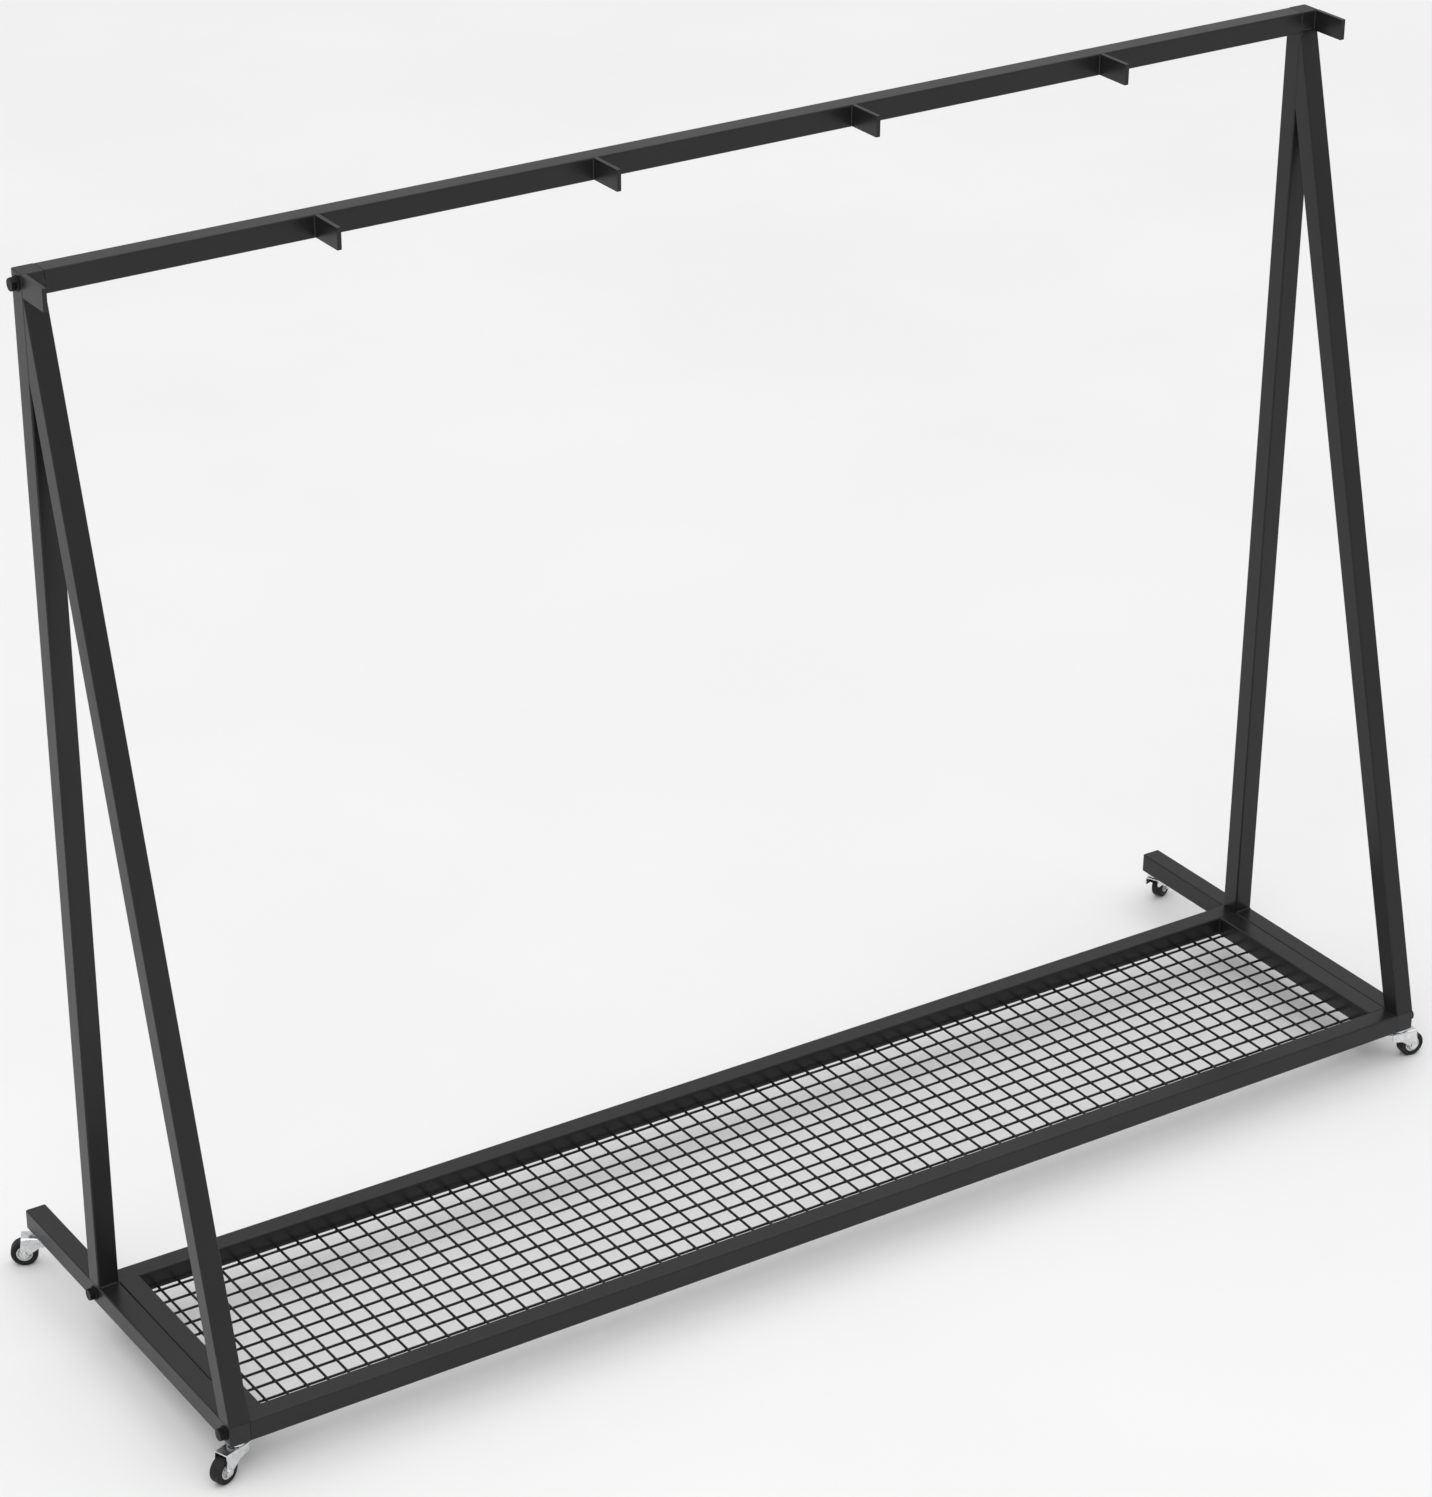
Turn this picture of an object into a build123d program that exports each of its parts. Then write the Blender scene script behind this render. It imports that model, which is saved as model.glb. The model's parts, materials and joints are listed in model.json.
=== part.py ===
from build123d import *
import math
import os

# Knock-down rolling display rack in 25 mm square steel tube.
# Two welded A-shaped end frames carry a top beam with panel tabs and a low
# mesh shelf, joined by M8 bolts, and roll on four small swivel casters.
# Frame: X along the beam, Y from the front to the rear, Z up from the floor.
# The origin is on the floor, in the middle of the rack's length and depth.

# Overall sizes
LENGTH = 1640.0
FOOT_LENGTH = 505.0
CASTER_HEIGHT = 43.0
FRAME_HEIGHT = 1209.0

# Square tube
TUBE = 25.0
WALL = 1.2
TUBE_RADIUS = 2.0

# How far cutters run past the faces that they open
THROUGH = 2.0

# End frames
REAR_LEG_SETBACK = 314.0
LEG_OVERLAP_ON_BEAM = 5.0
CAP_HEAD = 2.0
CAP_DEPTH = 3.5
CAP_FIT = 0.1

# Panel tabs on the front of the beam, measured from the left end
TAB_STATIONS = (0.0, 324.0, 655.0, 984.0, 1322.0, 1635.0)
TAB_THICKNESS = 5.0
TAB_REACH = 47.0
TAB_HEIGHT = 24.0
TAB_CORNER = 1.0

# Mesh shelf
WIRE = 3.0
MESH_PITCH = 25.0
CROSS_WIRES = 61
LONG_WIRES = 12

# M8 hexagon flange bolts and the nut blocks that they screw into
BOLT_SHANK = 7.9
BOLT_HOLE = 9.0
BOLT_LENGTH = 42.0
HEX_FLATS = 13.0
HEAD_HEIGHT = 8.0
HEAD_CHAMFER = 1.0
FLANGE_DIAMETER = 16.5
FLANGE_THICKNESS = 2.0
BLOCK_LENGTH = 18.0
BLOCK_BORE = 8.0
WELD_NUT_HEIGHT = 6.4

# Casters: wheel, fork, kingpin and ball race
WHEEL_DIAMETER = 32.0
WHEEL_WIDTH = 14.0
TYRE_SHOULDER = 2.4
HUB_DIAMETER = 19.0
HUB_INSET = 0.5
TRAIL = 21.2
FORK_SHEET = 1.6
FORK_GAP = 1.0
FORK_TOP = 37.8
FORK_BEND = 2.4
FORK_BACK = -10.5
FORK_FRONT = 24.0
FORK_BOSS = 5.4
FORK_CHEEK = 10.5
FORK_THROAT = (4.0, 24.5)
FORK_ROUND = 3.0
AXLE_DIAMETER = 5.0
AXLE_HEAD = 8.0
AXLE_HEAD_HEIGHT = 1.3
RUNNING_FIT = 0.06
SIDE_GAP = 0.3
RACE_DIAMETER = 21.0
RACE_THICKNESS = 2.0
RACE_LIP = 1.6
RACE_LIP_WALL = 1.4
KINGPIN_DIAMETER = 6.0
KINGPIN_HEAD = 9.6
KINGPIN_HEAD_HEIGHT = 1.4
KINGPIN_LIFT = 1.0
STUD_DIAMETER = 7.9
BALLS = 9
BALL_DIAMETER = 3.0
BALL_CIRCLE = 7.0

# Each caster: side of the rack, distance from the front, swivel direction
CASTER_INSET = TUBE / 2
CASTERS = {
    "left_front": (-1, CASTER_INSET, 201.0),
    "left_rear": (-1, FOOT_LENGTH - CASTER_INSET, 153.0),
    "right_front": (1, CASTER_INSET, 352.0),
    "right_rear": (1, FOOT_LENGTH - CASTER_INSET, 28.0),
}

# Levels and lines worked out from the sizes above
HALF = LENGTH / 2
SIDE_X = HALF - TUBE / 2
INNER_X = HALF - TUBE
BASE_Z = CASTER_HEIGHT
FOOT_TOP = BASE_Z + TUBE
TOP_Z = BASE_Z + FRAME_HEIGHT
BEAM_UNDER = TOP_Z - TUBE
INNER = TUBE - 2 * WALL
WHEEL_Z = WHEEL_DIAMETER / 2
FORK_INNER = WHEEL_WIDTH / 2 + FORK_GAP
FORK_OUTER = FORK_INNER + FORK_SHEET


def tube_section(plane):
    """Hollow square section with rounded corners."""
    outer = plane * RectangleRounded(TUBE, TUBE, TUBE_RADIUS)
    inner = plane * RectangleRounded(INNER, INNER, TUBE_RADIUS - WALL)
    return outer - inner


def tube_x(start, end, y, z):
    """Tube along X between two places, centred on y and z."""
    plane = Plane(origin=(start, y, z), x_dir=(0, 1, 0), z_dir=(1, 0, 0))
    return extrude(tube_section(plane), amount=end - start)


def tube_y(start, end, x, z):
    """Tube along Y between two places, centred on x and z."""
    plane = Plane(origin=(x, start, z), x_dir=(1, 0, 0), z_dir=(0, 1, 0))
    return extrude(tube_section(plane), amount=end - start)


def tube_z(start, end, x, y):
    """Tube along Z between two heights, centred on x and y."""
    plane = Plane(origin=(x, y, start), x_dir=(1, 0, 0), z_dir=(0, 0, 1))
    return extrude(tube_section(plane), amount=end - start)


def hole_x(x, y, z, diameter=BOLT_HOLE, length=TUBE + THROUGH):
    """Round cutter along X, centred on the point."""
    return Pos(x, y, z) * Rot(0, 90, 0) * Cylinder(diameter / 2, length)


def foot_tube(side):
    """Foot rail with cross holes for the shelf bolts and caster stems."""
    x = side * SIDE_X
    z = BASE_Z + TUBE / 2
    foot = tube_y(CAP_HEAD, FOOT_LENGTH - CAP_HEAD, x, z)
    for y in (TUBE / 2, REAR_LEG_SETBACK + TUBE / 2):
        foot -= hole_x(x, y, z)
    for y in (CASTER_INSET, FOOT_LENGTH - CASTER_INSET):
        foot -= Pos(x, y, BASE_Z) * Cylinder(BOLT_HOLE / 2, 4 * WALL)
    return foot


def rear_leg(side):
    """Upright of the end frame, drilled at the top for the beam bolt."""
    x = side * SIDE_X
    y = REAR_LEG_SETBACK + TUBE / 2
    leg = tube_z(FOOT_TOP, TOP_Z - CAP_HEAD, x, y)
    return leg - hole_x(x, y, TOP_Z - TUBE / 2)


def front_leg_blank(side, section):
    """Raking length of tube, longer than the leg, before it is mitred."""
    rise = BEAM_UNDER + LEG_OVERLAP_ON_BEAM - FOOT_TOP
    rake = math.atan2(REAR_LEG_SETBACK, rise)
    along = (0, math.sin(rake), math.cos(rake))
    spare = 3 * TUBE
    middle = TUBE / 2 / math.cos(rake)
    start = (
        side * SIDE_X,
        middle - spare * along[1],
        FOOT_TOP - spare * along[2],
    )
    plane = Plane(origin=start, x_dir=(1, 0, 0), z_dir=along)
    reach = math.hypot(REAR_LEG_SETBACK, rise) + 2 * spare
    return extrude(section(plane), amount=reach)


def solid_section(plane):
    """Outline of the tube without its bore."""
    return plane * RectangleRounded(TUBE, TUBE, TUBE_RADIUS)


def front_leg(side, section=tube_section):
    """Raking leg: flat on the foot tube, mitred to the rear leg."""
    blank = front_leg_blank(side, section)
    room = Pos(side * SIDE_X, REAR_LEG_SETBACK / 2, (FOOT_TOP + TOP_Z) / 2) * Box(
        2 * TUBE, REAR_LEG_SETBACK, TOP_Z - FOOT_TOP
    )
    return blank & room


def top_beam():
    """Beam between the two rear legs."""
    return tube_x(-INNER_X, INNER_X, REAR_LEG_SETBACK + TUBE / 2, TOP_Z - TUBE / 2)


def panel_tab(station):
    """Flat bar on edge, welded to the front face at one station."""
    x = station - HALF + TAB_THICKNESS / 2
    y = REAR_LEG_SETBACK - TAB_REACH / 2
    z = TOP_Z - TAB_HEIGHT / 2
    tab = Pos(x, y, z) * Box(TAB_THICKNESS, TAB_REACH, TAB_HEIGHT)
    nose = tab.edges().filter_by(Axis.X).group_by(Axis.Y)[0]
    tab = fillet(nose, TAB_CORNER)
    for side in (-1, 1):
        tab -= front_leg(side, solid_section)
    return tab


def shelf_rails():
    """Welded rectangle of tube that sits between the two feet."""
    z = BASE_Z + TUBE / 2
    front = tube_x(-INNER_X, INNER_X, TUBE / 2, z)
    rear = tube_x(-INNER_X, INNER_X, REAR_LEG_SETBACK + TUBE / 2, z)
    end_x = INNER_X - TUBE / 2
    left = tube_y(TUBE, REAR_LEG_SETBACK, -end_x, z)
    right = tube_y(TUBE, REAR_LEG_SETBACK, end_x, z)
    return {
        "shelf_front_rail": front,
        "shelf_rear_rail": rear,
        "shelf_left_rail": left,
        "shelf_right_rail": right,
    }


def long_wires():
    """Lower layer of the mesh, along the shelf."""
    span = 2 * (INNER_X - TUBE)
    first = (TUBE + REAR_LEG_SETBACK) / 2 - MESH_PITCH * (LONG_WIRES - 1) / 2
    z = BASE_Z + WIRE / 2
    wire = Rot(0, 90, 0) * Cylinder(WIRE / 2, span)
    return [Pos(0, first + i * MESH_PITCH, z) * wire for i in range(LONG_WIRES)]


def cross_wires():
    """Upper layer of the mesh, from the front rail to the rear rail."""
    span = REAR_LEG_SETBACK - TUBE
    middle = (TUBE + REAR_LEG_SETBACK) / 2
    first = -MESH_PITCH * (CROSS_WIRES - 1) / 2
    z = BASE_Z + 1.5 * WIRE
    wire = Rot(90, 0, 0) * Cylinder(WIRE / 2, span)
    return [Pos(first + i * MESH_PITCH, middle, z) * wire for i in range(CROSS_WIRES)]


def hexagon(length):
    """Hexagonal bar standing on the XY plane."""
    return extrude(RegularPolygon(HEX_FLATS / 2, 6, major_radius=False), amount=length)


def bolt(side, y, z):
    """Hexagon flange bolt driven inwards from the outer face of a side."""
    corner = HEX_FLATS / math.sqrt(3)
    blank = Pos(0, 0, HEAD_HEIGHT / 2) * Cylinder(corner, HEAD_HEIGHT)
    blank = chamfer(blank.edges().sort_by(Axis.Z)[-1], HEAD_CHAMFER)
    flange = Pos(0, 0, FLANGE_THICKNESS / 2) * Cylinder(
        FLANGE_DIAMETER / 2, FLANGE_THICKNESS
    )
    flange = chamfer(flange.edges().sort_by(Axis.Z)[-1], FLANGE_THICKNESS / 2)
    shank = Pos(0, 0, -BOLT_LENGTH / 2) * Cylinder(BOLT_SHANK / 2, BOLT_LENGTH)
    solid = (blank & hexagon(HEAD_HEIGHT)) + flange + shank
    return Pos(side * HALF, y, z) * Rot(0, 90 * side, 0) * solid


def nut_block(side, y, z):
    """Threaded block welded inside the end of a tube that runs along X."""
    size = INNER - 2 * CAP_FIT
    x = side * (INNER_X - BLOCK_LENGTH / 2)
    block = Pos(x, y, z) * Box(BLOCK_LENGTH, size, size)
    block = fillet(block.edges().filter_by(Axis.X), TUBE_RADIUS - WALL)
    return block - hole_x(x, y, z, BLOCK_BORE, BLOCK_LENGTH + THROUGH)


def end_cap():
    """Plastic plug: head on the XY plane upwards, stub inside the tube."""
    head = extrude(RectangleRounded(TUBE, TUBE, TUBE_RADIUS), amount=CAP_HEAD)
    head = fillet(head.faces().sort_by(Axis.Z)[-1].edges(), CAP_HEAD / 2)
    size = INNER - 2 * CAP_FIT
    stub = extrude(RectangleRounded(size, size, TUBE_RADIUS - WALL), amount=-CAP_DEPTH)
    return head + stub


def foot_caps():
    """Plugs in both ends of both feet."""
    z = BASE_Z + TUBE / 2
    caps = []
    for side in (-1, 1):
        caps.append(Pos(side * SIDE_X, CAP_HEAD, z) * Rot(90, 0, 0) * end_cap())
        rear = FOOT_LENGTH - CAP_HEAD
        caps.append(Pos(side * SIDE_X, rear, z) * Rot(-90, 0, 0) * end_cap())
    return caps


def leg_caps():
    """Plugs in the tops of both rear legs."""
    y = REAR_LEG_SETBACK + TUBE / 2
    return [Pos(s * SIDE_X, y, TOP_Z - CAP_HEAD) * end_cap() for s in (-1, 1)]


def weld_nuts():
    """Hexagon nuts inside the feet that take the caster studs."""
    bore = Pos(0, 0, WELD_NUT_HEIGHT / 2) * Cylinder(BLOCK_BORE / 2, WELD_NUT_HEIGHT)
    nut = hexagon(WELD_NUT_HEIGHT) - bore
    return [
        Pos(side * SIDE_X, y, BASE_Z + WALL) * nut
        for side, y, turn in CASTERS.values()
    ]


def upper_race():
    """Shallow cup over the bearing balls, against the underside of the foot."""
    depth = RACE_THICKNESS + RACE_LIP
    cup = Pos(0, 0, BASE_Z - depth / 2) * Cylinder(RACE_DIAMETER / 2, depth)
    cup = fillet(cup.edges().sort_by(Axis.Z)[0], RACE_LIP_WALL / 2)
    hollow = Cylinder(RACE_DIAMETER / 2 - RACE_LIP_WALL, RACE_LIP)
    return cup - Pos(0, 0, BASE_Z - depth + RACE_LIP / 2) * hollow


def caster_stem():
    """Stud, upper race and kingpin in one turned piece, on the swivel axis."""
    race_under = BASE_Z - RACE_THICKNESS
    stud_length = WALL + WELD_NUT_HEIGHT
    stud = Pos(0, 0, BASE_Z + stud_length / 2) * Cylinder(STUD_DIAMETER / 2, stud_length)
    head_top = FORK_TOP - FORK_SHEET - KINGPIN_LIFT
    pin = Pos(0, 0, (head_top + race_under) / 2) * Cylinder(
        KINGPIN_DIAMETER / 2, race_under - head_top
    )
    head = Pos(0, 0, head_top - KINGPIN_HEAD_HEIGHT / 2) * Cylinder(
        KINGPIN_HEAD / 2, KINGPIN_HEAD_HEIGHT
    )
    return upper_race() + stud + pin + head


def caster_balls():
    """Ring of bearing balls between the fork and the upper race."""
    z = (FORK_TOP + BASE_Z - RACE_THICKNESS) / 2
    ball = Pos(BALL_CIRCLE, 0, z) * Sphere(BALL_DIAMETER / 2)
    return [Rot(0, 0, 360 * i / BALLS) * ball for i in range(BALLS)]


def fork_side():
    """Side view of the fork: wide under the top plate, round at the axle."""
    web = Polyline(
        (FORK_BACK, FORK_TOP),
        (FORK_FRONT, FORK_TOP),
        (TRAIL + FORK_BOSS, WHEEL_Z),
        (TRAIL - FORK_BOSS, WHEEL_Z),
        FORK_THROAT,
        (FORK_BACK, FORK_TOP - FORK_CHEEK),
        close=True,
    )
    side = make_face(web)
    heel = side.vertices().group_by(Axis.X)[0].sort_by(Axis.Y)[0]
    throat = side.vertices().sort_by_distance(FORK_THROAT)[0]
    side = fillet([heel, throat], FORK_ROUND)
    return side + Pos(TRAIL, WHEEL_Z) * Circle(FORK_BOSS)


def fork_section():
    """Cross-section of the fork: a channel with rounded bends, open below."""
    height = 2 * FORK_TOP
    outer = RectangleRounded(2 * FORK_OUTER, height, FORK_BEND)
    inner = RectangleRounded(2 * FORK_INNER, height, FORK_BEND - FORK_SHEET)
    return outer - Pos(0, -FORK_SHEET) * inner


def caster_fork():
    """Pressed steel fork, drilled for the kingpin and the axle."""
    across = Plane(origin=(FORK_BACK, 0, 0), x_dir=(0, 1, 0), z_dir=(1, 0, 0))
    channel = extrude(across * fork_section(), amount=TRAIL + FORK_BOSS - FORK_BACK)
    along = Plane(origin=(0, FORK_OUTER, 0), x_dir=(1, 0, 0), z_dir=(0, -1, 0))
    fork = channel & extrude(along * fork_side(), amount=2 * FORK_OUTER)
    fork -= Pos(0, 0, FORK_TOP) * Cylinder(KINGPIN_DIAMETER / 2 + RUNNING_FIT, 4 * FORK_SHEET)
    return fork - Pos(TRAIL, 0, WHEEL_Z) * Rot(90, 0, 0) * Cylinder(
        AXLE_DIAMETER / 2, 4 * FORK_OUTER
    )


def caster_axle():
    """Rivet through the fork and the wheel."""
    reach = FORK_OUTER + AXLE_HEAD_HEIGHT
    pin = Cylinder(AXLE_DIAMETER / 2, 2 * reach)
    head = Cylinder(AXLE_HEAD / 2, AXLE_HEAD_HEIGHT)
    head = fillet(head.edges().sort_by(Axis.Z)[-1], AXLE_HEAD_HEIGHT / 2)
    top = Pos(0, 0, FORK_OUTER + AXLE_HEAD_HEIGHT / 2) * head
    rivet = pin + top + mirror(top, about=Plane.XY)
    return Pos(TRAIL, 0, WHEEL_Z) * Rot(90, 0, 0) * rivet


def wheel_hub():
    """Moulded hub with a running bore on the axle."""
    hub = Cylinder(HUB_DIAMETER / 2, WHEEL_WIDTH - 2 * HUB_INSET)
    boss = Cylinder(AXLE_HEAD / 2, WHEEL_WIDTH + 2 * (FORK_GAP - SIDE_GAP))
    bore = Cylinder(AXLE_DIAMETER / 2 + RUNNING_FIT, 2 * WHEEL_WIDTH)
    return Pos(TRAIL, 0, WHEEL_Z) * Rot(90, 0, 0) * (hub + boss - bore)


def wheel_tyre():
    """Tyre with rounded shoulders around the hub."""
    ring = Cylinder(WHEEL_DIAMETER / 2, WHEEL_WIDTH)
    ring = fillet(ring.edges().filter_by(GeomType.CIRCLE), TYRE_SHOULDER)
    ring -= Cylinder(HUB_DIAMETER / 2, 2 * WHEEL_WIDTH)
    return Pos(TRAIL, 0, WHEEL_Z) * Rot(90, 0, 0) * ring


def caster_pieces(name):
    """All pieces of one caster, turned to its swivel direction."""
    side, y, turn = CASTERS[name]
    place = Pos(side * SIDE_X, y, 0) * Rot(0, 0, turn)
    pieces = {
        "_caster_stem": [caster_stem()],
        "_caster_balls": caster_balls(),
        "_caster_fork": [caster_fork()],
        "_caster_axle": [caster_axle()],
        "_wheel_hub": [wheel_hub()],
        "_wheel_tyre": [wheel_tyre()],
    }
    return {name + part: [place * s for s in solids] for part, solids in pieces.items()}


def rack_pieces():
    """Every node of the rack, each a list of its solids."""
    bolt_y = REAR_LEG_SETBACK + TUBE / 2
    bolt_z = BASE_Z + TUBE / 2
    beam_z = TOP_Z - TUBE / 2
    pieces = {}
    for side, word in ((-1, "left"), (1, "right")):
        pieces[word + "_foot_tube"] = [foot_tube(side)]
        pieces[word + "_front_leg"] = [front_leg(side)]
        pieces[word + "_rear_leg"] = [rear_leg(side)]
    pieces["top_beam"] = [top_beam()]
    for i, station in enumerate(TAB_STATIONS):
        pieces[f"panel_tab_{i + 1}"] = [panel_tab(station)]
    for name, rail in shelf_rails().items():
        pieces[name] = [rail]
    pieces["shelf_long_wires"] = long_wires()
    pieces["shelf_cross_wires"] = cross_wires()
    pieces["beam_bolts"] = [bolt(s, bolt_y, beam_z) for s in (-1, 1)]
    pieces["beam_nut_blocks"] = [nut_block(s, bolt_y, beam_z) for s in (-1, 1)]
    corners = [(s, y) for s in (-1, 1) for y in (TUBE / 2, bolt_y)]
    pieces["shelf_bolts"] = [bolt(s, y, bolt_z) for s, y in corners]
    pieces["shelf_nut_blocks"] = [nut_block(s, y, bolt_z) for s, y in corners]
    pieces["foot_end_caps"] = foot_caps()
    pieces["leg_top_caps"] = leg_caps()
    pieces["caster_weld_nuts"] = weld_nuts()
    for name in CASTERS:
        pieces.update(caster_pieces(name))
    return pieces


def main():
    """Centre the rack on its origin and write one STEP file per node."""
    os.makedirs("parts", exist_ok=True)
    pieces = rack_pieces()
    boxes = [solid.bounding_box() for solids in pieces.values() for solid in solids]
    front = min(box.min.Y for box in boxes)
    rear = max(box.max.Y for box in boxes)
    depth_shift = -(front + rear) / 2
    print("depth shift", depth_shift)
    for name, solids in pieces.items():
        moved = [Pos(0, depth_shift, 0) * solid for solid in solids]
        shape = moved[0] if len(moved) == 1 else Compound(moved)
        export_step(shape, f"parts/{name}.step")


main()
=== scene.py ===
import json
import math
import random

import bmesh
import bpy
from mathutils import Matrix, Vector


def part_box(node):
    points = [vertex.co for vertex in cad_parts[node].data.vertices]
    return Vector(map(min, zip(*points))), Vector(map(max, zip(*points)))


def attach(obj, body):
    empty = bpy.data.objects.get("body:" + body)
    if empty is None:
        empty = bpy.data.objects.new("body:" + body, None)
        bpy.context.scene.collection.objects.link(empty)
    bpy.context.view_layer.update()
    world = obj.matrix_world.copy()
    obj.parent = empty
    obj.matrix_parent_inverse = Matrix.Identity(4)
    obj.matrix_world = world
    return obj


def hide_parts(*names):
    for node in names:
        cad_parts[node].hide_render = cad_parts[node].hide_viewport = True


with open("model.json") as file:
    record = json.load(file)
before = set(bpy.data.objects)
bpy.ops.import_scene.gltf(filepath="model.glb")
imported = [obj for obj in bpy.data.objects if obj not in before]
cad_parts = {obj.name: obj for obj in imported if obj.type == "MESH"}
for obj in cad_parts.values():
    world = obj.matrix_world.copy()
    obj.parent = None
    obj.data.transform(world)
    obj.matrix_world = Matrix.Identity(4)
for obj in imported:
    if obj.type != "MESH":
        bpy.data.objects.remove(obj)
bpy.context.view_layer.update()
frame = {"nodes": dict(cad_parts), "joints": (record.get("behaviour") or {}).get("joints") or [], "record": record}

# Looks of the rolling display rack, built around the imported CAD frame.
# Units are metres, +X along the beam, +Y to the rear, +Z up, floor at z = 0.

MM = 0.001
TABS = 6
CASTERS = ("left_front", "left_rear", "right_front", "right_rear")
JOINTS = {joint["name"]: joint for joint in frame["joints"]}
random.seed(7)


# ---------------------------------------------------------------- materials

def add_node(tree, kind, **values):
    """New shader node, with some of its inputs set."""
    node = tree.nodes.new("ShaderNode" + kind)
    for name, value in values.items():
        node.inputs[name.replace("_", " ")].default_value = value
    return node


def start_material(name, **shader_values):
    """Principled material whose constant values sit on the shader's own sockets."""
    material = bpy.data.materials.new(name)
    material.use_nodes = True
    tree = material.node_tree
    shader = tree.nodes["Principled BSDF"]
    for socket, value in shader_values.items():
        shader.inputs[socket.replace("_", " ")].default_value = value
    return material, tree, shader


def noise_of(tree, scale, detail=3.0, stretch=(1, 1, 1)):
    """Noise in the piece's own coordinates, in features per metre."""
    place = tree.nodes.new("ShaderNodeTexCoord")
    mapping = add_node(tree, "Mapping", Scale=stretch)
    noise = add_node(tree, "TexNoise", Scale=scale, Detail=detail)
    tree.links.new(place.outputs["Object"], mapping.inputs["Vector"])
    tree.links.new(mapping.outputs["Vector"], noise.inputs["Vector"])
    return noise.outputs["Fac"]


def ramp_of(tree, factor, low, high, start=0.35, end=0.65):
    """Colours from low to high over part of a factor's range."""
    ramp = tree.nodes.new("ShaderNodeValToRGB")
    ramp.color_ramp.elements[0].position = start
    ramp.color_ramp.elements[0].color = (*low, 1)
    ramp.color_ramp.elements[1].position = end
    ramp.color_ramp.elements[1].color = (*high, 1)
    tree.links.new(factor, ramp.inputs["Fac"])
    return ramp.outputs["Color"]


def spread_of(tree, factor, low, high, start=0.3, end=0.7):
    """Number from low to high as a factor goes from start to end."""
    spread = add_node(tree, "MapRange")
    spread.inputs["From Min"].default_value = start
    spread.inputs["From Max"].default_value = end
    spread.inputs["To Min"].default_value = low
    spread.inputs["To Max"].default_value = high
    tree.links.new(factor, spread.inputs["Value"])
    return spread.outputs["Result"]


def bump_from(tree, shader, height, strength, distance):
    """Surface relief from a height, in metres."""
    bump = add_node(tree, "Bump", Strength=strength, Distance=distance)
    tree.links.new(height, bump.inputs["Height"])
    tree.links.new(bump.outputs["Normal"], shader.inputs["Normal"])


def mottled(name, low, high, patch, rough, grain, relief, **shader_values):
    """Material with patches of colour, varied gloss and a fine grain."""
    material, tree, shader = start_material(name, **shader_values)
    patches = noise_of(tree, patch)
    tree.links.new(ramp_of(tree, patches, low, high), shader.inputs["Base Color"])
    gloss = noise_of(tree, patch * 2.6)
    tree.links.new(spread_of(tree, gloss, *rough), shader.inputs["Roughness"])
    bump_from(tree, shader, noise_of(tree, grain, 2.0), relief, 0.1 * MM)
    return material


def make_materials():
    """One material for each material slot of the record."""
    return {
        "powder_coat": mottled(
            "black_powder_coat", (0.0110, 0.0110, 0.0115), (0.0140, 0.0140, 0.0145),
            6.0, (0.27, 0.34), 520.0, 0.55, Specular_IOR_Level=0.29,
        ),
        "mesh_wire": mottled(
            "black_coated_wire", (0.0080, 0.0080, 0.0085), (0.0120, 0.0120, 0.0125),
            25.0, (0.34, 0.44), 1200.0, 0.3, Specular_IOR_Level=0.2,
        ),
        "black_bolt": mottled(
            "black_oxide", (0.0025, 0.0025, 0.0028), (0.0050, 0.0046, 0.0044),
            160.0, (0.42, 0.54), 2500.0, 0.2, Specular_IOR_Level=0.2,
        ),
        "cap_plastic": mottled(
            "moulded_cap_plastic", (0.009, 0.009, 0.0095), (0.013, 0.013, 0.0135),
            80.0, (0.42, 0.52), 3500.0, 0.35, Specular_IOR_Level=0.4,
        ),
        "zinc_steel": mottled(
            "zinc_plated_steel", (0.62, 0.63, 0.66), (0.78, 0.78, 0.77),
            120.0, (0.22, 0.34), 1800.0, 0.15, Metallic=1.0,
        ),
        "bearing_steel": mottled(
            "bearing_steel", (0.70, 0.70, 0.71), (0.76, 0.76, 0.77),
            300.0, (0.08, 0.14), 2600.0, 0.05, Metallic=1.0,
        ),
        "tyre_rubber": mottled(
            "tyre_rubber", (0.006, 0.006, 0.006), (0.014, 0.0135, 0.013),
            90.0, (0.55, 0.72), 2200.0, 0.4, Specular_IOR_Level=0.3,
        ),
        "hub_plastic": mottled(
            "hub_nylon", (0.60, 0.60, 0.58), (0.68, 0.68, 0.66),
            120.0, (0.38, 0.5), 3000.0, 0.3,
        ),
    }


MATERIALS = make_materials()


# ------------------------------------------------------- CAD nodes as they are

def soften(piece, width, angle=42.0):
    """Rounded edges and even shading, as modifiers only."""
    weld = piece.modifiers.new("join_facets", "WELD")
    weld.merge_threshold = 0.002 * MM
    flatten = piece.modifiers.new("join_flat_faces", "DECIMATE")
    flatten.decimate_type = "DISSOLVE"
    flatten.angle_limit = math.radians(0.5)
    bevel = piece.modifiers.new("round_edges", "BEVEL")
    bevel.width = width
    bevel.segments = 2
    bevel.limit_method = "ANGLE"
    bevel.angle_limit = math.radians(angle)
    bevel.harden_normals = False
    normals = piece.modifiers.new("even_shading", "WEIGHTED_NORMAL")
    normals.keep_sharp = True


def dress_cad_nodes():
    """Give every CAD node the material of its slot."""
    slots = {row["node"]: row["material_slot"] for row in frame["record"]["subparts"]}
    for node, piece in frame["nodes"].items():
        piece.data.materials.clear()
        piece.data.materials.append(MATERIALS[slots[node]])
        piece.data.shade_smooth()
        soften(piece, 0.25 * MM)


dress_cad_nodes()


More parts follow.
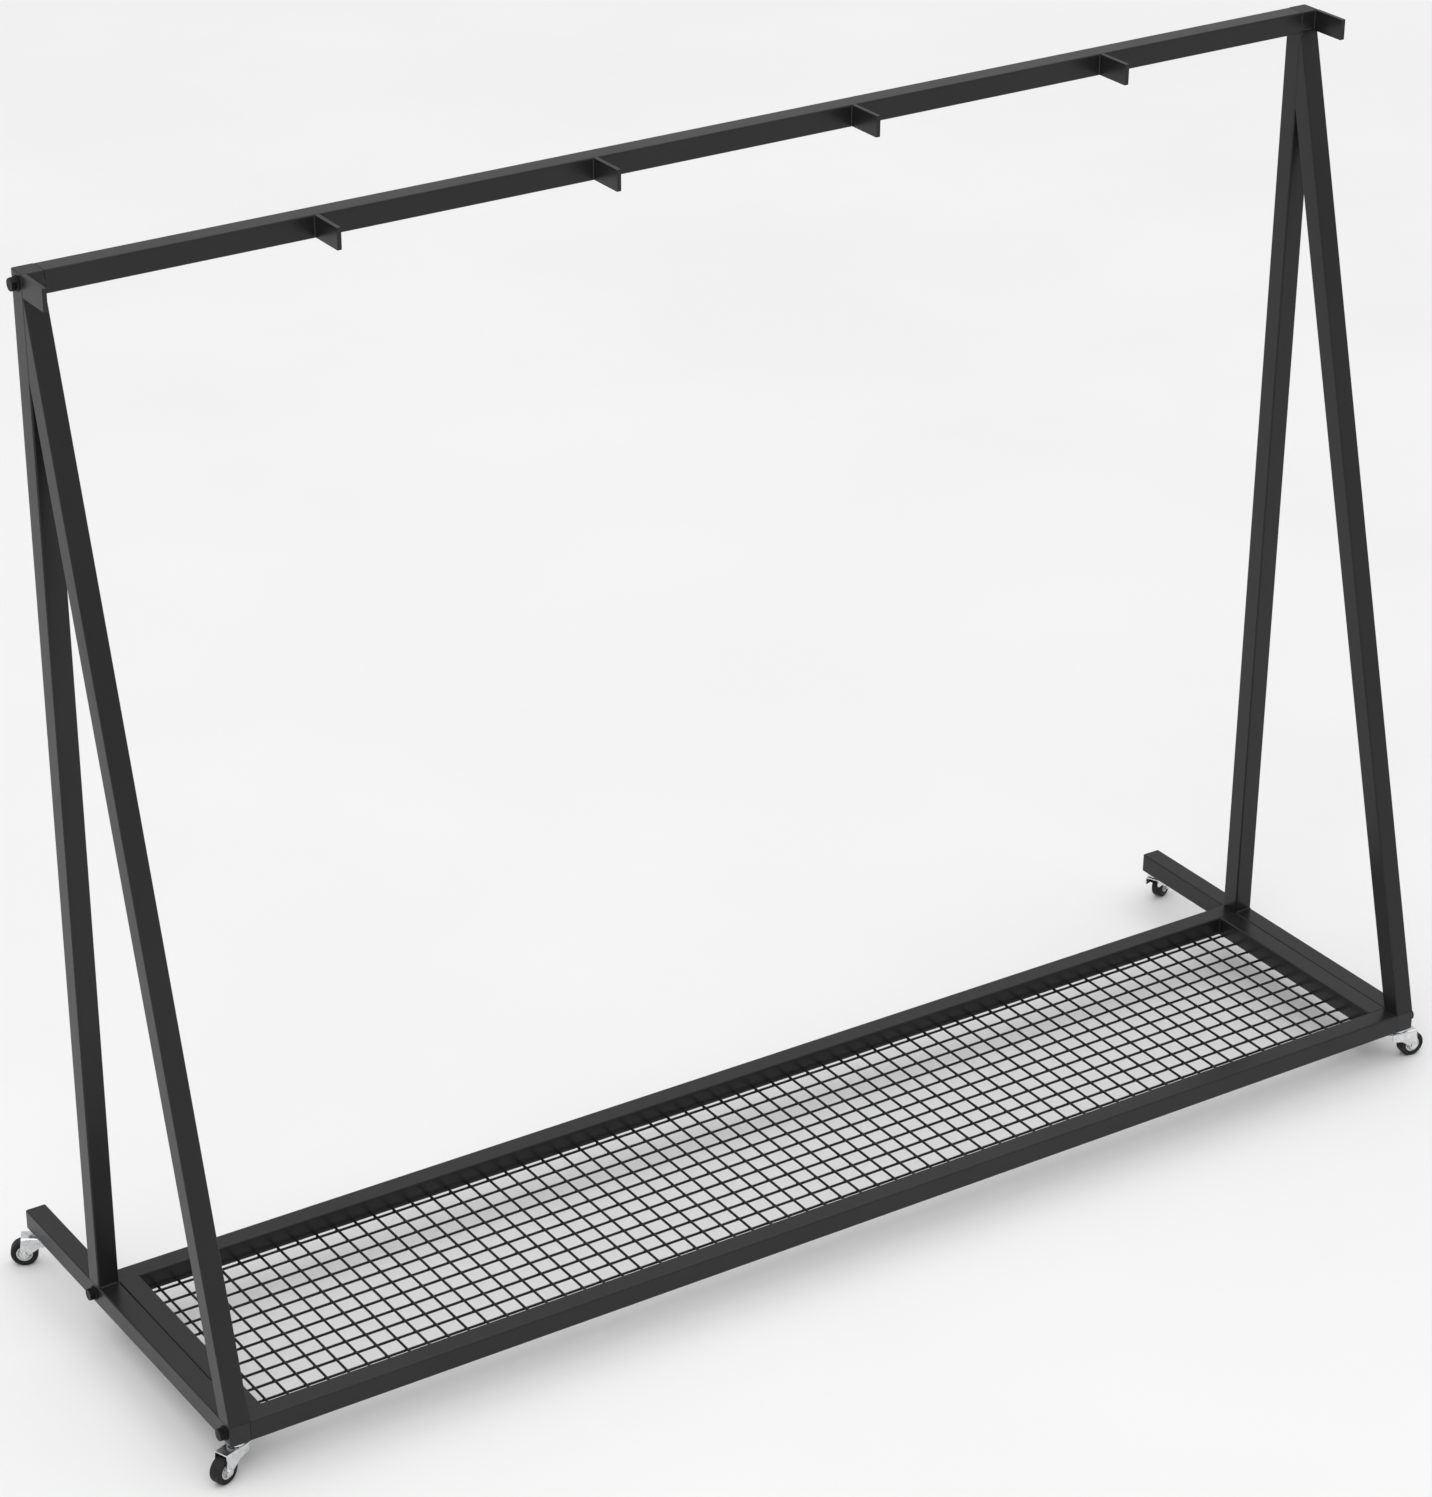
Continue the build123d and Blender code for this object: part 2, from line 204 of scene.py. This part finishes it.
# ------------------------------------------------------------- mesh code tools

def finish_piece(name, mesh_code, slot, body):
    """Piece of the rack from a bmesh, with its slot's material, riding on a body."""
    bmesh.ops.recalc_face_normals(mesh_code, faces=mesh_code.faces)
    mesh = bpy.data.meshes.new(name)
    mesh_code.to_mesh(mesh)
    mesh_code.free()
    mesh.shade_smooth()
    mesh.materials.append(MATERIALS[slot])
    piece = bpy.data.objects.new(name, mesh)
    bpy.context.scene.collection.objects.link(piece)
    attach(piece, body)
    return piece


def add_skin(mesh_code, rings):
    """Closed skin over a row of rings of points, capped at both ends."""
    loops = [[mesh_code.verts.new(point) for point in ring] for ring in rings]
    count = len(loops[0])
    for loop, after in zip(loops, loops[1:]):
        for i in range(count):
            j = (i + 1) % count
            mesh_code.faces.new((loop[i], loop[j], after[j], after[i]))
    mesh_code.faces.new(loops[0])
    mesh_code.faces.new(loops[-1])


BLOB_SIDES = 10
BLOB_BELTS = (-0.95, -0.6, 0.0, 0.6, 0.95)


def add_blob(mesh_code, place, radii):
    """Squashed ball of welded metal."""
    place = Vector(place)
    rings = []
    for belt in BLOB_BELTS:
        girth = math.sqrt(1 - belt * belt)
        ring = []
        for i in range(BLOB_SIDES):
            angle = 2 * math.pi * i / BLOB_SIDES
            wide = radii[0] * girth * math.cos(angle)
            deep = radii[1] * girth * math.sin(angle)
            ring.append(place + Vector((wide, deep, radii[2] * belt)))
        rings.append(ring)
    add_skin(mesh_code, rings)


# ------------------------------------------------------------------- the welds

BEAD_SIDES = 12
RIPPLE = 2.2 * MM
RIPPLE_DEPTH = 0.10
RIPPLE_LAG = 0.4
FILLET_BEAD = 2.1 * MM
SEAM_BEAD = 1.7 * MM
SEAM_DEPTH = 0.82
TAB_BEAD = 1.6 * MM
BEAD_INSET = 2 * MM
MESH_PITCH = 25 * MM


def add_bead(mesh_code, start, end, radius, facing, sunk=0.0):
    """Weld bead between two points: ripples that trail back from its crown.

    It faces away from the steel, and it is sunk by a part of its radius.
    """
    facing = Vector(facing).normalized()
    run = Vector(end) - Vector(start)
    along = run.normalized()
    side = along.cross(facing)
    root = Vector(start) - facing * (radius * sunk)
    steps = max(6, round(4 * run.length / RIPPLE))
    phase = random.random()
    rings = []
    for step in range(steps + 1):
        travel = run.length * step / steps
        from_end = min(travel, run.length - travel) / radius
        taper = min(1.0, 0.5 + 0.5 * from_end)
        wave = abs(math.sin(math.pi * (travel / RIPPLE + phase)))
        swell = radius * taper * (1 - RIPPLE_DEPTH * wave) * random.uniform(0.97, 1.02)
        lag = RIPPLE * RIPPLE_LAG * min(1.0, from_end)
        ring = []
        for i in range(BEAD_SIDES):
            angle = 2 * math.pi * i / BEAD_SIDES
            crown = math.cos(angle)
            offset = swell * (crown * facing + math.sin(angle) * side)
            ring.append(root + along * (travel + lag * (crown - 1)) + offset)
        rings.append(ring)
    add_skin(mesh_code, rings)


def seam(mesh_code, start, end, facing):
    """Low bead on a seam between flush faces."""
    add_bead(mesh_code, start, end, SEAM_BEAD, facing, SEAM_DEPTH)


def rear_leg_welds(mesh_code, word, out):
    """Rear leg to foot: a fillet in front and behind, a seam on the outside."""
    low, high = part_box(word + "_rear_leg")
    left, right = low.x + BEAD_INSET, high.x - BEAD_INSET
    for y, facing_y in ((low.y, -1), (high.y, 1)):
        add_bead(mesh_code, (left, y, low.z), (right, y, low.z), FILLET_BEAD, (0, facing_y, 1))
    x = high.x if out > 0 else low.x
    front, rear = low.y + BEAD_INSET, high.y - BEAD_INSET
    seam(mesh_code, (x, front, low.z), (x, rear, low.z), (out, 0, 0))


def front_leg_welds(mesh_code, word, out):
    """Raking leg to foot and to rear leg."""
    low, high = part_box(word + "_front_leg")
    tube = high.x - low.x
    rake = math.atan2(high.y - low.y, high.z - low.z)
    tab_low, tab_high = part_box("panel_tab_1")
    tab = tab_high.x - tab_low.x
    heel = low.y + tube / math.cos(rake)
    crotch = high.z - tube / math.sin(rake)
    left, right = low.x + BEAD_INSET, high.x - BEAD_INSET
    top_left = low.x + (tab if out < 0 else 0) + BEAD_INSET
    top_right = high.x - (tab if out > 0 else 0) - BEAD_INSET
    add_bead(
        mesh_code, (top_left, high.y, high.z), (top_right, high.y, high.z),
        FILLET_BEAD, (0, -1, 0.5), sunk=0.4,
    )
    add_bead(mesh_code, (left, high.y, crotch), (right, high.y, crotch), FILLET_BEAD, (0, -0.3, -1))
    add_bead(mesh_code, (left, heel, low.z), (right, heel, low.z), FILLET_BEAD, (0, 1, 1))
    for x, facing_x in ((low.x, -1), (high.x, 1)):
        top = high.z - (tube if facing_x == out else BEAD_INSET)
        seam(mesh_code, (x, high.y, crotch + BEAD_INSET), (x, high.y, top), (facing_x, 0, 0))
    x = high.x if out > 0 else low.x
    front, rear = low.y + BEAD_INSET, heel - BEAD_INSET
    seam(mesh_code, (x, front, low.z), (x, rear, low.z), (out, 0, 0))


def frame_welds():
    """Welds of the two end frames."""
    for word, out in (("left", -1), ("right", 1)):
        mesh_code = bmesh.new()
        rear_leg_welds(mesh_code, word, out)
        front_leg_welds(mesh_code, word, out)
        finish_piece(word + "_frame_welds", mesh_code, "powder_coat", "rack")


def tab_welds():
    """Fillets down both sides of each tab, where they meet steel."""
    mesh_code = bmesh.new()
    left_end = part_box("left_foot_tube")[0].x
    right_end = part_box("right_foot_tube")[1].x
    for number in range(1, TABS + 1):
        low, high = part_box(f"panel_tab_{number}")
        for x, facing_x in ((low.x, -1), (high.x, 1)):
            if abs(x - left_end) < MM or abs(x - right_end) < MM:
                continue
            add_bead(
                mesh_code, (x, high.y, low.z + MM), (x, high.y, high.z - MM),
                TAB_BEAD, (facing_x, -1, 0),
            )
    finish_piece("tab_welds", mesh_code, "powder_coat", "rack")


def shelf_frame_welds():
    """Welds at the four corners of the shelf's frame."""
    mesh_code = bmesh.new()
    for word, inward in (("left", 1), ("right", -1)):
        low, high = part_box(f"shelf_{word}_rail")
        left, right = low.x + BEAD_INSET, high.x - BEAD_INSET
        bottom, top = low.z + BEAD_INSET, high.z - BEAD_INSET
        x = high.x if inward > 0 else low.x
        for y, facing_y in ((low.y, 1), (high.y, -1)):
            for z, facing_z in ((high.z, 1), (low.z, -1)):
                seam(mesh_code, (left, y, z), (right, y, z), (0, 0, facing_z))
            add_bead(mesh_code, (x, y, bottom), (x, y, top), FILLET_BEAD, (inward, facing_y, 0))
    finish_piece("shelf_frame_welds", mesh_code, "powder_coat", "rack")


def wire_centres(low, high, wire):
    """Evenly spaced centre lines of wires, from one side of a node's box to the other."""
    gaps = round((high - low) / MESH_PITCH)
    first = low + wire / 2
    step = (high - low - wire) / gaps
    return [first + step * i for i in range(gaps + 1)]


def mesh_welds():
    """Nuggets where the wires cross, and dabs where they meet the rails."""
    cross_low, cross_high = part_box("shelf_cross_wires")
    long_low, long_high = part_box("shelf_long_wires")
    wire = long_high.z - long_low.z
    cross_x = wire_centres(cross_low.x, cross_high.x, wire)
    long_y = wire_centres(long_low.y, long_high.y, wire)
    nuggets = bmesh.new()
    for x in cross_x:
        for y in long_y:
            size = random.uniform(0.60, 0.70) * wire
            add_blob(nuggets, (x, y, cross_low.z), (size, size, 0.32 * wire))
    finish_piece("mesh_cross_welds", nuggets, "mesh_wire", "rack")
    dabs = bmesh.new()
    for x in cross_x:
        for y in (cross_low.y, cross_high.y):
            size = random.uniform(0.62, 0.80) * wire
            add_blob(dabs, (x, y, cross_low.z + wire / 2), (size, 0.5 * wire, size))
    for y in long_y:
        for x in (long_low.x, long_high.x):
            size = random.uniform(0.62, 0.80) * wire
            add_blob(dabs, (x, y, long_low.z + wire / 2), (0.5 * wire, size, size))
    finish_piece("mesh_end_welds", dabs, "mesh_wire", "rack")


frame_welds()
tab_welds()
shelf_frame_welds()
mesh_welds()


# ----------------------------------------------------------------- the casters

# Profiles of the wheel, as radius and height above its middle, in millimetres
TYRE_SEAT = 9.5
TYRE_RADIUS = 15.85
TYRE_HALF = 7.0
TYRE_SHOULDER = 2.2
TYRE_SIDE = [
    (TYRE_SEAT, TYRE_HALF - 0.35), (10.9, TYRE_HALF - 0.35), (11.3, TYRE_HALF - 0.75),
    (12.3, TYRE_HALF - 0.75), (12.7, TYRE_HALF - 0.3),
]
TYRE_CROWN = [(TYRE_RADIUS + 0.06, 2.4), (TYRE_RADIUS + 0.08, 0.35), (TYRE_RADIUS + 0.15, 0.12)]
HUB_PROFILE = [
    (2.56, 7.4), (2.9, 7.7), (3.8, 7.7), (4.1, 7.4), (4.3, 3.5), (4.7, 3.1),
    (7.4, 3.1), (7.8, 3.5), (8.0, 6.1), (8.3, 6.45), (9.3, 6.45), (9.5, 6.2),
]
LATHE_STEPS = 72
HUB_RIBS = 6


def wheel_place(name):
    """Matrix with its origin in the middle of a wheel and Z along the axle."""
    joint = JOINTS[name + "_wheel_spin"]
    turn = Vector((0, 0, 1)).rotation_difference(Vector(joint["axis"]))
    return Matrix.LocRotScale(Vector(joint["pos_m"]), turn, None)


def add_lathe(mesh_code, half, place):
    """Ring turned from the upper half of a profile and its mirror image."""
    profile = half + [(radius, -height) for radius, height in reversed(half)]
    loops = []
    for step in range(LATHE_STEPS):
        turn = Matrix.Rotation(2 * math.pi * step / LATHE_STEPS, 4, "Z")
        loops.append([
            mesh_code.verts.new(place @ turn @ Vector((radius * MM, 0, height * MM)))
            for radius, height in profile
        ])
    count = len(profile)
    for step, loop in enumerate(loops):
        after = loops[(step + 1) % LATHE_STEPS]
        for i in range(count):
            j = (i + 1) % count
            mesh_code.faces.new((loop[i], loop[j], after[j], after[i]))


def arc_points(centre, radius, start, end, count):
    """Points of an arc, with its angles in degrees."""
    points = []
    for i in range(count + 1):
        angle = math.radians(start + (end - start) * i / count)
        across, up = radius * math.cos(angle), radius * math.sin(angle)
        points.append((centre[0] + across, centre[1] + up))
    return points


def make_tyre(name):
    """Tyre with round shoulders, a grooved side and a parting line."""
    centre = (TYRE_RADIUS - TYRE_SHOULDER, TYRE_HALF - TYRE_SHOULDER)
    round_side = arc_points(centre, TYRE_SHOULDER, 80, 8, 6)
    mesh_code = bmesh.new()
    add_lathe(mesh_code, TYRE_SIDE + round_side + TYRE_CROWN, wheel_place(name))
    piece = finish_piece(name + "_tyre", mesh_code, "tyre_rubber", name + "_wheel")
    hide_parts(name + "_wheel_tyre")


def add_rib(mesh_code, place, inner, outer, thick, height):
    """Straight rib that stands on the hub's web, from one radius to another."""
    corners = bmesh.ops.create_cube(mesh_code, size=1.0)["verts"]
    scale = Matrix.Diagonal((outer - inner, thick, 2 * height, 1))
    middle = Matrix.Translation(((inner + outer) / 2, 0, 0))
    bmesh.ops.transform(mesh_code, matrix=place @ middle @ scale, verts=corners)
    edges = [edge for edge in mesh_code.edges if all(vert in corners for vert in edge.verts)]
    bmesh.ops.bevel(mesh_code, geom=edges, offset=0.25 * MM, segments=2, affect="EDGES")


def make_hub(name):
    """Moulded hub: rim, recessed web with ribs, and a bored boss."""
    mesh_code = bmesh.new()
    place = wheel_place(name)
    add_lathe(mesh_code, HUB_PROFILE, place)
    for rib in range(HUB_RIBS):
        turn = Matrix.Rotation(2 * math.pi * rib / HUB_RIBS, 4, "Z")
        add_rib(mesh_code, place @ turn, 3.9 * MM, 8.1 * MM, 1.2 * MM, 5.6 * MM)
    piece = finish_piece(name + "_hub", mesh_code, "hub_plastic", name + "_wheel")
    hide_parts(name + "_wheel_hub")


for caster in CASTERS:
    make_tyre(caster)
    make_hub(caster)


# ------------------------------------------------------------- floor and light

FLOOR_REACH = 60.0
WORLD_LOW = 0.62
WORLD_HIGH = 1.46
CAMERA_FROM_BEAM = (-2.3972, -3.6566, 1.4535)
CAMERA_HEADING = (0.47057, 0.73956, -0.48127)
CAMERA_LENS = 101.97
CAMERA_SHIFT = (0.0353, 0.1115)


def make_floor():
    """Plain pale floor that reaches past the view."""
    mesh = bpy.data.meshes.new("floor")
    signs = ((-1, -1), (1, -1), (1, 1), (-1, 1))
    corners = [(x * FLOOR_REACH, y * FLOOR_REACH, 0) for x, y in signs]
    mesh.from_pydata(corners, [], [(0, 1, 2, 3)])
    floor = bpy.data.objects.new("floor", mesh)
    bpy.context.scene.collection.objects.link(floor)
    material, tree, shader = start_material("pale_floor", Roughness=0.75)
    tone = ramp_of(tree, noise_of(tree, 1.5), (0.82, 0.82, 0.82), (0.84, 0.84, 0.84))
    tree.links.new(tone, shader.inputs["Base Color"])
    mesh.materials.append(material)


def make_world():
    """Soft white surroundings, brighter overhead than near the horizon."""
    world = bpy.data.worlds.new("studio")
    world.use_nodes = True
    tree = world.node_tree
    background = tree.nodes["Background"]
    background.inputs["Color"].default_value = (1.0, 1.0, 1.0, 1)
    place = tree.nodes.new("ShaderNodeTexCoord")
    split = tree.nodes.new("ShaderNodeSeparateXYZ")
    tree.links.new(place.outputs["Generated"], split.inputs["Vector"])
    glow = spread_of(tree, split.outputs["Z"], WORLD_LOW, WORLD_HIGH, 0.55, 0.85)
    tree.links.new(glow, background.inputs["Strength"])
    bpy.context.scene.world = world


def aim(obj, place, target):
    """Put a light or camera at a place, looking at a target."""
    obj.location = place
    obj.rotation_mode = "QUATERNION"
    obj.rotation_quaternion = (Vector(target) - Vector(place)).to_track_quat("-Z", "Y")


def softbox(name, place, target, size, power):
    """Large square area light."""
    data = bpy.data.lights.new(name, "AREA")
    data.size = size
    data.energy = power
    light = bpy.data.objects.new(name, data)
    bpy.context.scene.collection.objects.link(light)
    aim(light, place, target)


def make_camera():
    """Camera to the front left of the rack, looking down at it."""
    data = bpy.data.cameras.new("camera")
    data.sensor_width = 36.0
    data.lens = CAMERA_LENS
    data.shift_x, data.shift_y = CAMERA_SHIFT
    data.clip_end = 200.0
    camera = bpy.data.objects.new("camera", data)
    bpy.context.scene.collection.objects.link(camera)
    beam_low, beam_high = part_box("top_beam")
    place = (beam_low + beam_high) / 2 + Vector(CAMERA_FROM_BEAM)
    aim(camera, place, place + Vector(CAMERA_HEADING))
    bpy.context.scene.camera = camera


make_floor()
make_world()
softbox("key", place=(-3.0, -3.5, 4.5), target=(0, 0, 0.5), size=3.0, power=60.0)
make_camera()
bpy.context.scene.view_settings.view_transform = "Standard"
